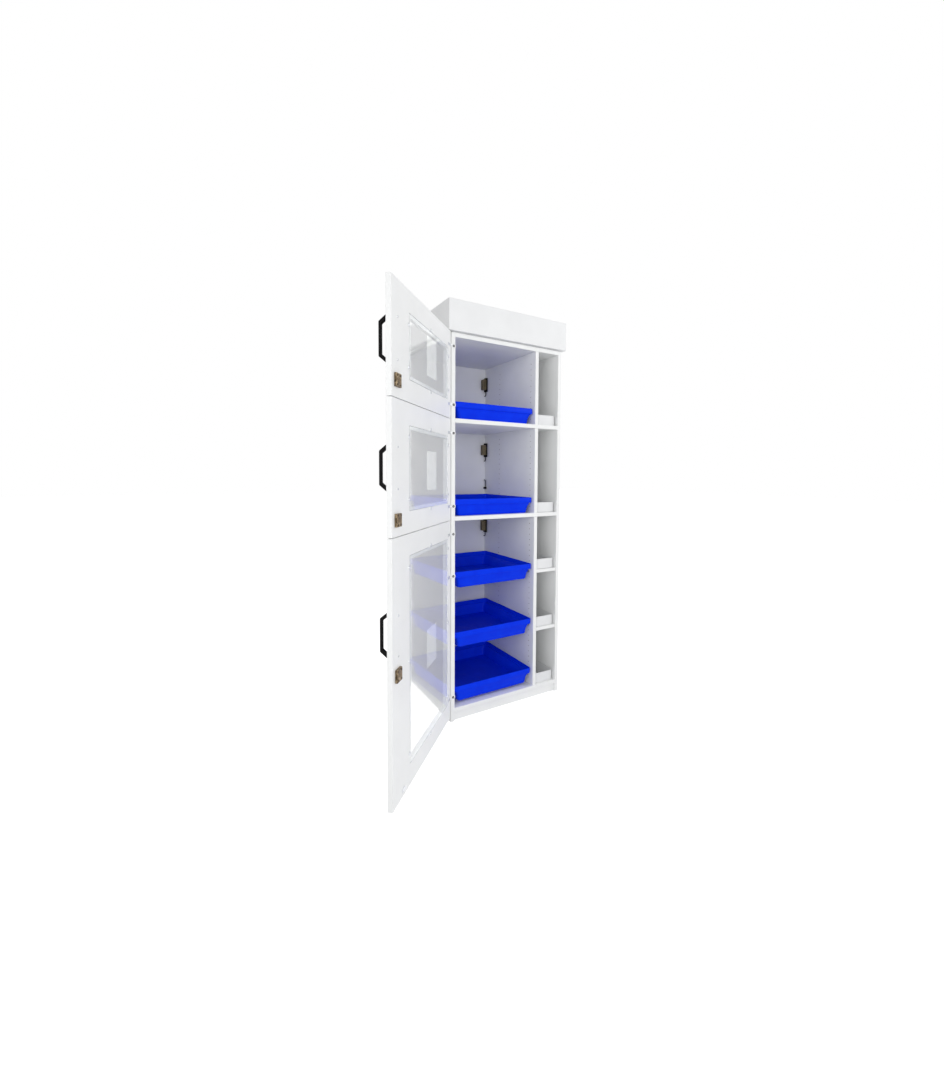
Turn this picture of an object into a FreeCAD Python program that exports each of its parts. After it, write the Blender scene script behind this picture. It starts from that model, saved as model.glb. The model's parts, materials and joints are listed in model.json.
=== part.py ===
import FreeCAD, Part
import math
import os

# Tall reagent cabinet with three windowed doors, pull-out retention trays, narrow bins and a
# filter housing on top. Millimetres, +Z up. The origin is the centre of the footprint on the floor.
# The front faces -Y. The doors hang on the left side and stand open at rest, the trays are in.

os.makedirs("parts", exist_ok=True)
V = FreeCAD.Vector
UP = V(0, 0, 1)

# Carcass
carcass_width = 720.0
carcass_depth = 600.0
board = 22.0
back_board = 8.0
plinth_height = 50.0
plinth_recess = 12.0
lower_clear = 1006.0
middle_clear = 492.0
upper_clear = 418.0
narrow_column_clear = 140.0
divider_setback = 4.0
board_edge_round = 1.0

# Narrow shelves in the right column, and the pegs that carry them
narrow_shelf_thickness = 18.0
narrow_shelf_setback = 4.0
narrow_shelf_play = 0.5
narrow_shelf_height_shares = (0.323, 0.668)
peg_radius = 2.5
peg_length_in_board = 10.0
peg_length_out = 9.0
peg_fit = 0.05

# Rows of holes for shelf pegs in the main column
peg_hole_pitch = 32.0
peg_hole_depth = 10.5
peg_hole_end_distance = 34.0
peg_hole_front_setback = 50.0
peg_hole_rear_setback = 200.0

# Air holes in the boards below the filter
air_hole_radius = 4.0
air_hole_pitch = 30.0
air_hole_rows = 5
air_hole_columns = 9
shelf_air_hole_columns = 12
shelf_air_hole_rear = 24.0

# Filter housing
housing_height = 160.0
housing_side_overhang = 22.0
housing_front_overhang = 18.0
sheet = 2.0
shadow_gap = 6.0
shadow_setback = 12.0
shadow_rail = 20.0
lid_slot_length = 180.0
lid_slot_width = 7.0
lid_slot_pitch = 16.0
lid_slot_count = 11
filter_side = 400.0
filter_height = 60.0
filter_centre_back = 20.0
filter_opening_margin = 20.0
hood_clearance = 4.0
fan_inlet_radius = 72.0
impeller_radius = 95.0
impeller_height = 42.0
impeller_gap = 6.0
impeller_plate = 2.0
impeller_blades = 9
impeller_blade_angle = 35.0
impeller_blade_length = 42.0
impeller_hub_radius = 20.0
motor_radius = 45.0
motor_gap = 3.0
motor_shaft_radius = 4.0
motor_shaft_depth = 20.0
shaft_fit = 0.05
inlet_width = 27.5
inlet_height = 20.0
inlet_body_depth = 22.0
inlet_flange = 4.0
inlet_from_side = 90.0
inlet_above_floor = 60.0
inlet_pocket_wall = 2.0
inlet_pocket_depth = 18.0
inlet_blade_width = 2.0
inlet_blade_height = 5.0
inlet_blade_length = 12.0
inlet_blade_pitch = 7.0

# Doors
door_thickness = 22.0
door_standoff = 2.0
door_side_gap = 1.5
door_gap = 3.0
door_top_gap = 4.0
door_base_cover = 24.0
door_edge_round = 1.5
door_open_angle = 133.0
pivot_out = 3.0
pivot_forward = 1.0
lower_meeting_share = 0.15
upper_meeting_share = 0.8
window_end_margin = 106.0
window_free_margin = 187.0
window_hinge_margin = 61.0
window_corner = 3.0
pane_overlap = 16.0
pane_thickness = 5.0
pane_play = 0.5
pane_screw_outside = 6.0
pane_screw_inset = 32.0
washer_radius = 8.0
washer_thickness = 1.5
pan_head_radius = 4.5
pan_head_height = 2.4
wood_screw_radius = 1.8
wood_screw_length = 14.0
screw_tip_room = 1.0
screw_fit = 0.05

# Handles
handle_pitch = 160.0
handle_from_free_edge = 56.0
handle_reach = 52.0
handle_bar = 10.0
handle_width = 17.0
handle_foot = 18.0
handle_shoulder = 24.0
handle_chamfer_run = 23.0
handle_round = 3.0
handle_screw_radius = 2.5
handle_screw_bite = 12.0
lower_handle_height = 696.0

# Locks
lock_width = 45.0
lock_height = 51.0
lock_depth = 10.5
lock_side_gap = 2.5
lock_above_door_end = 64.0
lower_lock_height = 547.0
lock_wall = 2.0
bolt_height = 20.0
bolt_thickness = 4.0
bolt_cover = 1.0
bolt_rest_out = 1.0
bolt_bite = 10.5
bolt_rear_room = 7.0
bolt_nose_round = 1.2
bolt_play = 0.3
barrel_radius = 9.5
barrel_proud = 2.5
barrel_rim = 3.0
plug_radius = 6.0
plug_fit = 0.05
plug_proud = 1.0
key_slot_width = 2.0
key_slot_height = 8.0
key_slot_depth = 10.0
strike_height = 54.0
strike_width = 16.0
strike_setback = 0.6
strike_thickness = 1.5
strike_play = 0.8
strike_end_play = 1.5

# Hinges
hinge_end = 72.0
hinge_end_lower_door = 108.0
middle_hinge_share = 0.72
strap_height = 14.0
strap_thickness = 2.5
strap_wall_length = 48.0
leaf_length = 40.0
eye_radius = 5.0
hinge_pin_radius = 2.0
hinge_pin_fit = 0.05
hinge_play = 0.3
eye_share = 1 / 3
notch_play = 0.7
strap_screw_radius = 3.5
strap_screw_height = 1.2
strap_face_screw_radius = 5.5
strap_face_screw_from_side = 13.0
strap_screw_shares = (1 / 3, 5 / 6)
leaf_screw_shares = (0.6, 0.88)

# Trays
tray_side_gap = 8.0
tray_setback = 12.0
tray_rear_gap = 38.0
tray_height = 90.0
tray_rim = 30.0
tray_ledge = 8.0
tray_shoulder = 24.0
tray_shoulder_at_sides = 14.0
tray_shoulder_at_ends = 5.0
tray_taper = 5.0
tray_wall = 3.0
tray_corner = 14.0
tray_body_corner = 16.0
tray_running_gap = 0.3
hung_tray_rim_shares = (0.7247, 0.4006, 0.1054)
runner_thickness = 2.0
runner_height = 28.0
runner_width = 14.0
runner_front_gap = 52.0
runner_rear_gap = 38.0
runner_screw_radius = 3.5
runner_screw_height = 1.4
runner_screw_end = 60.0

# Narrow bins
bin_side_gap = 6.0
bin_setback = 15.0
bin_rear_gap = 20.0
bin_height = 60.0
bin_wall = 2.5
bin_corner = 9.0
bin_lip = 1.5
bin_running_gap = 0.3

# Air sensors in the rear corners, with their leads
sensor_below_ceiling = 59.0
sensor_height = 92.0
sensor_base_width = 10.0
sensor_depth = 32.0
sensor_wall_gap = 3.0
sensor_cover_width = 25.0
sensor_cover_inset = 12.0
sensor_cover_slot = 3.0
sensor_cover_slots = 7
sensor_round = 5.0
lead_radius = 2.5
lead_drop = 18.0
lead_bend = 9.0
second_lead_below_sensor = 157.0
second_lead_length = 48.0
gland_radius = 8.0
gland_length = 12.0

# Levels and lines that follow from the sizes above
left = -carcass_width / 2
right = carcass_width / 2
front = -carcass_depth / 2
back = carcass_depth / 2
inner_left = left + board
inner_right = right - board
inner_back = back - back_board
divider_right = inner_right - narrow_column_clear
divider_left = divider_right - board
main_column_clear = divider_left - inner_left
base_top = plinth_height + board
lower_shelf_bottom = base_top + lower_clear
lower_shelf_top = lower_shelf_bottom + board
upper_shelf_bottom = lower_shelf_top + middle_clear
upper_shelf_top = upper_shelf_bottom + board
ceiling = upper_shelf_top + upper_clear
carcass_top = ceiling + board
housing_bottom = carcass_top + shadow_gap
housing_top = housing_bottom + housing_height
housing_floor_top = housing_bottom + sheet
housing_left = left - housing_side_overhang
housing_right = right + housing_side_overhang
housing_front = front - housing_front_overhang
housing_inner_top = housing_top - sheet
filter_centre = (0, filter_centre_back)
hood_top = housing_floor_top + filter_height + hood_clearance + sheet
impeller_bottom = hood_top + impeller_gap
impeller_top = impeller_bottom + impeller_height
motor_bottom = impeller_top + motor_gap

door_bottom = plinth_height - door_base_cover
lower_meeting = lower_shelf_bottom + board * lower_meeting_share
upper_meeting = upper_shelf_bottom + board * upper_meeting_share
door_top = housing_bottom - door_top_gap
door_inner = front - door_standoff
door_outer = door_inner - door_thickness
door_hinge_edge = left + door_side_gap
door_free_edge = right - door_side_gap
pivot = V(left - pivot_out, front - pivot_forward, 0)
doors = {
    "upper": (upper_meeting + door_gap / 2, door_top),
    "middle": (lower_meeting + door_gap / 2, upper_meeting - door_gap / 2),
    "lower": (door_bottom, lower_meeting - door_gap / 2),
}
compartments = {
    "upper": (upper_shelf_top, ceiling),
    "middle": (lower_shelf_top, upper_shelf_bottom),
    "lower": (base_top, lower_shelf_bottom),
}
handle_length = handle_pitch + handle_foot
bolt_centre_y = door_inner + lock_depth - bolt_cover - bolt_play - bolt_thickness / 2
bolt_throw = lock_side_gap + strike_thickness + bolt_bite - bolt_rest_out
bolt_hidden = lock_width - lock_wall - bolt_rear_room
lock_right = inner_right - strike_thickness - lock_side_gap
lock_left = lock_right - lock_width
bolt_reach = lock_right + bolt_rest_out + bolt_throw
barrel_x = lock_left + lock_width / 2
tray_side_insets = (tray_ledge, tray_ledge + tray_shoulder_at_sides)
tray_end_insets = (tray_ledge, tray_ledge + tray_shoulder_at_ends)
runner_ledge_drop = tray_rim + tray_running_gap
shelf_air_y = inner_back - shelf_air_hole_rear
overrun = 5.0


def box(x0, x1, y0, y1, z0, z1):
    """Block between two corners."""
    return Part.makeBox(x1 - x0, y1 - y0, z1 - z0, V(x0, y0, z0))


def rod(centre, axis, radius, length):
    """Round bar from centre along axis."""
    return Part.makeCylinder(radius, length, V(*centre), V(*axis))


def rounded_board(x0, x1, y0, y1, z0, z1, radius):
    """Block with all its edges slightly rounded."""
    body = box(x0, x1, y0, y1, z0, z1)
    return body.makeFillet(radius, body.Edges)


def front_rounded(x0, x1, y0, y1, z0, z1):
    """Board whose two long front edges are slightly rounded."""
    body = box(x0, x1, y0, y1, z0, z1)
    at_front = [e for e in body.Edges if e.BoundBox.YMax < y0 + board_edge_round / 2]
    span = max(e.Length for e in at_front)
    return body.makeFillet(board_edge_round, [e for e in at_front if e.Length == span])


def cut_all(body, tools):
    """Body with a list of tools taken away."""
    return body.cut(Part.makeCompound(tools)) if tools else body


def group(solids):
    """One node from several separate solids."""
    return Part.makeCompound(solids)


def rounded_rectangle(cx, cy, width, depth, radius, z):
    """Closed wire of a rectangle with round corners, at height z."""
    hx = width / 2
    hy = depth / 2
    quarter = math.sqrt(0.5)
    points = []
    for sx, sy in ((1, -1), (1, 1), (-1, 1), (-1, -1)):
        centre = V(cx + sx * (hx - radius), cy + sy * (hy - radius), z)
        side_x = centre + V(sx * radius, 0, 0)
        side_y = centre + V(0, sy * radius, 0)
        middle = centre + V(sx * radius * quarter, sy * radius * quarter, 0)
        order = (side_y, middle, side_x) if sx * sy < 0 else (side_x, middle, side_y)
        points.append(order)
    edges = []
    for i, corner in enumerate(points):
        edges.append(Part.Arc(*corner).toShape())
        edges.append(Part.LineSegment(corner[2], points[(i + 1) % 4][0]).toShape())
    return Part.Wire(edges)


def prism(wire, height):
    """Solid raised from a flat wire."""
    return Part.Face(wire).extrude(V(0, 0, height))


def taper(low_wire, high_wire):
    """Solid between two like wires at different heights."""
    return Part.makeLoft([low_wire, high_wire], True, True)


def peg_holes(face_x, direction, z0, z1):
    """Two columns of blind peg holes in a face of a board."""
    holes = []
    count = int((z1 - z0 - 2 * peg_hole_end_distance) // peg_hole_pitch) + 1
    for y in (front + peg_hole_front_setback, back - peg_hole_rear_setback):
        for i in range(count):
            z = z0 + peg_hole_end_distance + i * peg_hole_pitch
            holes.append(rod((face_x, y, z), (direction, 0, 0), peg_radius + peg_fit, peg_hole_depth))
    return holes


def narrow_shelf_levels():
    """Heights of the undersides of the narrow shelves."""
    return [base_top + lower_clear * share for share in narrow_shelf_height_shares]


def narrow_peg_places():
    """Places of the pegs below the narrow shelves: face, direction into the board, y and z."""
    places = []
    for level in narrow_shelf_levels():
        for y in (front + peg_hole_front_setback, back - peg_hole_rear_setback):
            places.append((divider_right, -1, y, level - peg_radius))
            places.append((inner_right, 1, y, level - peg_radius))
    return places


def narrow_peg_holes(face_x):
    """Holes for those pegs in one face."""
    return [rod((x, y, z), (way, 0, 0), peg_radius + peg_fit, peg_hole_depth)
            for x, way, y, z in narrow_peg_places() if x == face_x]


def hinge_levels(name):
    """Heights of a door's hinges."""
    low, high = doors[name]
    if name == "lower":
        return [low + hinge_end_lower_door, low + (high - low) * middle_hinge_share, high - hinge_end]
    return [low + hinge_end, high - hinge_end]


def all_hinge_levels():
    """Heights of every hinge on the cabinet."""
    return [z for name in doors for z in hinge_levels(name)]


def lock_level(name):
    """Height of the centre of a door's lock."""
    if name == "lower":
        return lower_lock_height
    return doors[name][0] + lock_above_door_end


def handle_level(name):
    """Height of the centre of a door's handle."""
    low, high = doors[name]
    return lower_handle_height if name == "lower" else (low + high) / 2


def pivot_rod(z, radius, length):
    """Upright round bar about the doors' pivot line."""
    return rod((pivot.x, pivot.y, z), (0, 0, 1), radius, length)


def hinge_notches(z):
    """Room for a hinge's eyes and for the strap that is let into the side's front edge."""
    half = strap_height / 2 + hinge_play
    eye = pivot_rod(z - half, eye_radius + notch_play, 2 * half)
    strap = box(left - overrun, inner_left + overrun, front - overrun, front + strap_thickness,
                z - half, z + half)
    return [eye, strap]


def side_panel_left():
    """Left side, down to the floor, with peg holes and the slots of the hinge straps."""
    body = front_rounded(left, inner_left, front, back, 0, carcass_top)
    tools = [tool for z in all_hinge_levels() for tool in hinge_notches(z)]
    for low, high in compartments.values():
        tools += peg_holes(inner_left, -1, low, high)
    return cut_all(body, tools)


def side_panel_right():
    """Right side, with holes for the narrow shelves' pegs and for the lock bolts."""
    body = front_rounded(inner_right, right, front, back, 0, carcass_top)
    tools = narrow_peg_holes(inner_right)
    for name in doors:
        tools.append(bolt_space(lock_level(name), inner_right - overrun, bolt_reach + strike_end_play))
    return cut_all(body, tools)


def bolt_space(z, x0, x1):
    """Slot that a thrown bolt goes into."""
    half_y = bolt_thickness / 2 + strike_play
    half_z = bolt_height / 2 + strike_play
    return box(x0, x1, bolt_centre_y - half_y, bolt_centre_y + half_y, z - half_z, z + half_z)


def back_panel():
    """Thin back let in between the sides, with holes for the sensor leads."""
    body = box(inner_left, inner_right, inner_back, back, plinth_height, carcass_top)
    holes = [rod((x, inner_back - overrun, z), (0, 1, 0), lead_radius + screw_fit, back_board + 2 * overrun)
             for x, z in lead_holes()]
    return cut_all(body, holes)


def base_board():
    """Bottom board."""
    return front_rounded(inner_left, inner_right, front, inner_back, plinth_height, base_top)


def plinth_rails():
    """Front and rear rails between the sides and one between them, below the bottom board."""
    y0 = front + plinth_recess + board
    y1 = back - board
    front_rail = box(inner_left, inner_right, y0 - board, y0, 0, plinth_height)
    rear_rail = box(inner_left, inner_right, y1, back, 0, plinth_height)
    middle_rail = box(-board / 2, board / 2, y0, y1, 0, plinth_height)
    return group([front_rail, rear_rail, middle_rail])


def air_grid(z0, z1):
    """Round air holes in rows below the filter."""
    cx, cy = filter_centre
    holes = []
    for i in range(air_hole_columns):
        for j in range(air_hole_rows):
            x = cx + (i - (air_hole_columns - 1) / 2) * air_hole_pitch
            y = cy + (j - (air_hole_rows - 1) / 2) * air_hole_pitch
            holes.append(rod((x, y, z0 - overrun), (0, 0, 1), air_hole_radius, z1 - z0 + 2 * overrun))
    return holes


def top_board():
    """Top board, with the air holes below the filter."""
    body = front_rounded(inner_left, inner_right, front, inner_back, ceiling, carcass_top)
    return cut_all(body, air_grid(ceiling, carcass_top))


def fixed_shelf(z):
    """Full-width board with a row of air holes along its rear edge."""
    body = front_rounded(inner_left, inner_right, front, inner_back, z, z + board)
    middle = (inner_left + divider_left) / 2
    holes = []
    for i in range(shelf_air_hole_columns):
        x = middle + (i - (shelf_air_hole_columns - 1) / 2) * air_hole_pitch
        holes.append(rod((x, shelf_air_y, z - overrun), (0, 0, 1), air_hole_radius, board + 2 * overrun))
    return cut_all(body, holes)


def divider(name):
    """Upright between the main column and the narrow one, for one compartment."""
    low, high = compartments[name]
    body = front_rounded(divider_left, divider_right, front + divider_setback, inner_back, low, high)
    tools = peg_holes(divider_left, 1, low, high)
    if name == "lower":
        tools += narrow_peg_holes(divider_right)
    return cut_all(body, tools)


def narrow_shelves():
    """The two thin shelves of the right column."""
    solids = []
    for level in narrow_shelf_levels():
        solids.append(front_rounded(divider_right + narrow_shelf_play, inner_right - narrow_shelf_play,
                                    front + narrow_shelf_setback, inner_back - narrow_shelf_play,
                                    level, level + narrow_shelf_thickness))
    return group(solids)


def shelf_pegs():
    """Steel pegs under the narrow shelves."""
    length = peg_length_in_board + peg_length_out
    return group([rod((x - way * peg_length_out, y, z), (way, 0, 0), peg_radius, length)
                  for x, way, y, z in narrow_peg_places()])


def housing_body():
    """Four folded walls of the filter housing, with the cut-out of the mains inlet."""
    outer = box(housing_left, housing_right, housing_front, back, housing_bottom, housing_inner_top)
    upright = [e for e in outer.Edges if e.BoundBox.ZLength > housing_height / 2]
    outer = outer.makeFillet(sheet, upright)
    inner = box(housing_left + sheet, housing_right - sheet, housing_front + sheet, back - sheet,
                housing_bottom - overrun, housing_top + overrun)
    x, z = inlet_place()
    hole = box(x - inlet_width / 2, x + inlet_width / 2, back - sheet - overrun, back + overrun,
               z - inlet_height / 2, z + inlet_height / 2)
    return outer.cut(inner).cut(hole)


def housing_floor():
    """Floor sheet of the housing, on a set-back rail that leaves the shadow gap."""
    plate = box(housing_left + sheet, housing_right - sheet, housing_front + sheet, back - sheet,
                housing_bottom, housing_floor_top)
    cx, cy = filter_centre
    half = filter_side / 2 - filter_opening_margin
    opening = box(cx - half, cx + half, cy - half, cy + half,
                  carcass_top - overrun, housing_floor_top + overrun)
    rail = box(left + shadow_setback, right - shadow_setback, front + shadow_setback, back - shadow_setback,
               carcass_top, housing_bottom)
    inset = shadow_setback + shadow_rail
    rail_hole = box(left + inset, right - inset, front + inset, back - inset, carcass_top, housing_bottom)
    return plate.cut(opening).fuse(rail.cut(rail_hole)).removeSplitter()


def housing_lid():
    """Top sheet with the exhaust slots above the fan."""
    plate = rounded_board(housing_left, housing_right, housing_front, back,
                          housing_inner_top, housing_top, sheet / 3)
    cx, cy = filter_centre
    slots = []
    for i in range(lid_slot_count):
        y = cy + (i - (lid_slot_count - 1) / 2) * lid_slot_pitch
        for side in (-1, 1):
            x0 = cx + side * motor_radius
            x1 = cx + side * (motor_radius + lid_slot_length)
            slots.append(box(min(x0, x1), max(x0, x1), y - lid_slot_width / 2, y + lid_slot_width / 2,
                             housing_inner_top - overrun, housing_top + overrun))
    return cut_all(plate, slots)


def carbon_filter():
    """Framed activated-carbon block above the opening in the floor."""
    cx, cy = filter_centre
    half = filter_side / 2
    return rounded_board(cx - half, cx + half, cy - half, cy + half, housing_floor_top,
                         housing_floor_top + filter_height, sheet)


def filter_hood():
    """Sheet hood over the filter, with the fan's round inlet in its top."""
    cx, cy = filter_centre
    inner = filter_side / 2 + hood_clearance
    outer = inner + sheet
    body = box(cx - outer, cx + outer, cy - outer, cy + outer, housing_floor_top, hood_top)
    room = box(cx - inner, cx + inner, cy - inner, cy + inner, housing_floor_top - overrun, hood_top - sheet)
    hole = rod((cx, cy, hood_top - sheet - overrun), (0, 0, 1), fan_inlet_radius, sheet + 2 * overrun)
    return body.cut(room).cut(hole)


def fan_motor():
    """Round motor hung from the lid, with a bore for the shaft."""
    cx, cy = filter_centre
    body = rod((cx, cy, motor_bottom), (0, 0, 1), motor_radius, housing_inner_top - motor_bottom)
    bore = rod((cx, cy, motor_bottom - overrun), (0, 0, 1), motor_shaft_radius + shaft_fit,
               motor_shaft_depth + overrun + motor_gap)
    return body.cut(bore)


def fan_impeller():
    """Bladed wheel with its shaft."""
    cx, cy = filter_centre
    hub_height = impeller_height / 2
    half_plate = impeller_plate / 2
    plate = rod((cx, cy, impeller_top - impeller_plate), (0, 0, 1), impeller_radius, impeller_plate)
    ring = rod((cx, cy, impeller_bottom), (0, 0, 1), impeller_radius, impeller_plate)
    eye = rod((cx, cy, impeller_bottom - overrun), (0, 0, 1), fan_inlet_radius, impeller_plate + 2 * overrun)
    hub = rod((cx, cy, impeller_top - hub_height), (0, 0, 1), impeller_hub_radius, hub_height)
    shaft = rod((cx, cy, impeller_top), (0, 0, 1), motor_shaft_radius, motor_gap + motor_shaft_depth)
    blade_reach = impeller_blade_length * math.cos(math.radians(impeller_blade_angle))
    start = impeller_radius - blade_reach - impeller_plate
    blade = box(0, impeller_blade_length, -half_plate, half_plate, impeller_bottom, impeller_top)
    blade.rotate(V(0, 0, 0), UP, impeller_blade_angle)
    blade.translate(V(cx + start, cy, 0))
    body = plate.fuse([ring.cut(eye), hub, shaft])
    blades = []
    for i in range(impeller_blades):
        copy = blade.copy()
        copy.rotate(V(cx, cy, 0), UP, i * 360 / impeller_blades)
        blades.append(copy)
    return body.fuse(blades)


def inlet_place():
    """Place of the mains inlet's centre on the rear wall."""
    return right - inlet_from_side, housing_floor_top + inlet_above_floor


def mains_inlet():
    """Appliance inlet with three blades, in the rear wall of the housing."""
    x, z = inlet_place()
    half_w = inlet_width / 2 - screw_fit
    half_h = inlet_height / 2 - screw_fit
    body = box(x - half_w, x + half_w, back - inlet_body_depth, back + inlet_pocket_wall,
               z - half_h, z + half_h)
    flange = box(x - half_w - inlet_flange, x + half_w + inlet_flange, back, back + inlet_pocket_wall,
                 z - half_h - inlet_flange, z + half_h + inlet_flange)
    body = body.fuse(flange)
    pocket = box(x - half_w + inlet_pocket_wall, x + half_w - inlet_pocket_wall,
                 back + inlet_pocket_wall - inlet_pocket_depth, back + inlet_pocket_wall + overrun,
                 z - half_h + inlet_pocket_wall, z + half_h - inlet_pocket_wall)
    body = body.cut(pocket)
    pocket_end = back + inlet_pocket_wall - inlet_pocket_depth
    for i in (-1, 0, 1):
        cx = x + i * inlet_blade_pitch
        cz = z + (inlet_blade_width if i == 0 else -inlet_blade_width)
        blade = box(cx - inlet_blade_width / 2, cx + inlet_blade_width / 2,
                    pocket_end - inlet_pocket_wall, pocket_end + inlet_blade_length,
                    cz - inlet_blade_height / 2, cz + inlet_blade_height / 2)
        body = body.fuse(blade)
    return body.removeSplitter()


def hung_tray_levels():
    """Heights of the rims of the trays that hang on runners."""
    return [base_top + lower_clear * share for share in hung_tray_rim_shares]


def tray_bottoms():
    """Heights of the undersides of all five trays, from the top one down."""
    standing = [upper_shelf_top + tray_running_gap, lower_shelf_top + tray_running_gap]
    return standing + [level - tray_height for level in hung_tray_levels()]


def tray_box():
    """Width, depth and plan centre of a tray's rim."""
    width = main_column_clear - 2 * tray_side_gap
    depth = inner_back - tray_rear_gap - front - tray_setback
    return width, depth, (inner_left + divider_left) / 2, front + tray_setback + depth / 2


def tray_line(side_inset, end_inset, corner, z):
    """Outline of a tray at one height, drawn in from its rim."""
    width, depth, cx, cy = tray_box()
    return rounded_rectangle(cx, cy, width - 2 * side_inset, depth - 2 * end_inset, corner, z)


def tray_body(bottom, wall):
    """Body of a tray below its ledge, drawn in by a wall for the room inside."""
    ledge_z = bottom + tray_height - tray_rim
    shoulder_z = ledge_z - tray_shoulder
    drawn_in = tray_taper * (1 - wall / (shoulder_z - bottom))
    corner = tray_body_corner - wall
    side_high, side_low = tray_side_insets
    end_high, end_low = tray_end_insets
    lower = taper(tray_line(side_low + drawn_in + wall, end_low + drawn_in + wall, corner, bottom + wall),
                  tray_line(side_low + wall, end_low + wall, corner, shoulder_z))
    upper = taper(tray_line(side_low + wall, end_low + wall, corner, shoulder_z),
                  tray_line(side_high + wall, end_high + wall, corner, ledge_z + wall))
    return lower.fuse(upper).removeSplitter()


def tray(bottom):
    """Retention tray: a body with a sloping shoulder below a ledge and a rim, open at the top."""
    ledge_z = bottom + tray_height - tray_rim
    rim = prism(tray_line(0, 0, tray_corner, ledge_z), tray_rim)
    rim_room = prism(tray_line(tray_wall, tray_wall, tray_corner - tray_wall, ledge_z + tray_wall), tray_rim)
    return tray_body(bottom, 0).fuse(rim).cut(tray_body(bottom, tray_wall)).cut(rim_room).removeSplitter()


def tray_runners():
    """Angle runners with their screws, one pair for each tray that hangs."""
    y0 = front + runner_front_gap
    y1 = inner_back - runner_rear_gap
    solids = []
    for level in hung_tray_levels():
        top = level - runner_ledge_drop
        for wall_x, way in ((inner_left, 1), (divider_left, -1)):
            web = sorted((wall_x, wall_x + way * runner_thickness))
            flange = sorted((wall_x, wall_x + way * runner_width))
            angle = box(web[0], web[1], y0, y1, top - runner_height, top)
            angle = angle.fuse(box(flange[0], flange[1], y0, y1, top - runner_thickness, top))
            solids.append(angle.removeSplitter())
            for y in (y0 + runner_screw_end, y1 - runner_screw_end):
                face = wall_x + way * runner_thickness
                solids.append(screw_head((face, y, top - runner_height / 2), (way, 0, 0),
                                         runner_screw_radius, runner_screw_height))
    return group(solids)


def screw_head(centre, axis, radius, height):
    """Low domed head that lies on a face."""
    head = rod(centre, axis, radius, height)
    far = max(head.Edges, key=lambda e: (e.CenterOfMass - V(*centre)).dot(V(*axis)))
    return head.makeChamfer(height / 2, [far])


def bin_bottoms():
    """Heights of the undersides of the narrow bins, from the top one down."""
    shelf_tops = [level + narrow_shelf_thickness for level in reversed(narrow_shelf_levels())]
    seats = [upper_shelf_top, lower_shelf_top] + shelf_tops + [base_top]
    return [seat + bin_running_gap for seat in seats]


def narrow_bin(bottom):
    """Narrow open bin with round upright corners and a thin lip."""
    x0 = divider_right + bin_side_gap
    x1 = inner_right - bin_side_gap
    y0 = front + bin_setback
    y1 = inner_back - bin_rear_gap
    lip_height = 2 * bin_lip

    def line(inset, corner, z):
        return rounded_rectangle((x0 + x1) / 2, (y0 + y1) / 2,
                                 x1 - x0 - 2 * inset, y1 - y0 - 2 * inset, corner, z)

    body = prism(line(bin_lip, bin_corner, bottom), bin_height)
    lip = prism(line(0, bin_corner + bin_lip, bottom + bin_height - lip_height), lip_height)
    room = prism(line(bin_lip + bin_wall, bin_corner - bin_wall, bottom + bin_wall), bin_height)
    return body.fuse(lip).cut(room).removeSplitter()


def strike_plates():
    """Slotted plates that the lock bolts go through."""
    solids = []
    for name in doors:
        z = lock_level(name)
        y0 = front + strike_setback
        plate = box(inner_right - strike_thickness, inner_right, y0, y0 + strike_width,
                    z - strike_height / 2, z + strike_height / 2)
        solids.append(plate.cut(bolt_space(z, inner_right - overrun, inner_right + overrun)))
    return group(solids)


def sensor_tops():
    """Heights of the tops of the three air sensors."""
    return [high - sensor_below_ceiling for low, high in compartments.values()]


def sensor_base_box():
    """Plan limits of a sensor's base, against the divider."""
    y1 = inner_back - sensor_wall_gap
    return divider_left - sensor_base_width, divider_left, y1 - sensor_depth, y1


def lead_x():
    """Line of the leads, in the middle of a sensor's base."""
    return divider_left - sensor_base_width / 2


def lead_holes():
    """Places where leads go through the back."""
    places = []
    for top in sensor_tops():
        bottom = top - sensor_height
        places.append((lead_x(), bottom - lead_drop - lead_bend))
        places.append((lead_x(), bottom - second_lead_below_sensor))
    return places


def lead(x, z_from, z_hole):
    """Round lead from a vertical start, through one bend, into the back."""
    y_line = inner_back - sensor_wall_gap - sensor_depth / 2
    way = 1 if z_hole > z_from else -1
    bend_z = z_hole - way * lead_bend
    start = V(x, y_line, z_from)
    turn = V(x, y_line, bend_z)
    centre = V(x, y_line + lead_bend, bend_z)
    reach = lead_bend * math.sqrt(0.5)
    middle = centre + V(0, -reach, way * reach)
    leave = V(x, y_line + lead_bend, z_hole)
    end = V(x, back, z_hole)
    path = Part.Wire([Part.LineSegment(start, turn).toShape(), Part.Arc(turn, middle, leave).toShape(),
                      Part.LineSegment(leave, end).toShape()])
    ring = Part.Wire([Part.makeCircle(lead_radius, start, V(0, 0, way))])
    return path.makePipeShell([ring], True, True)


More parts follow.
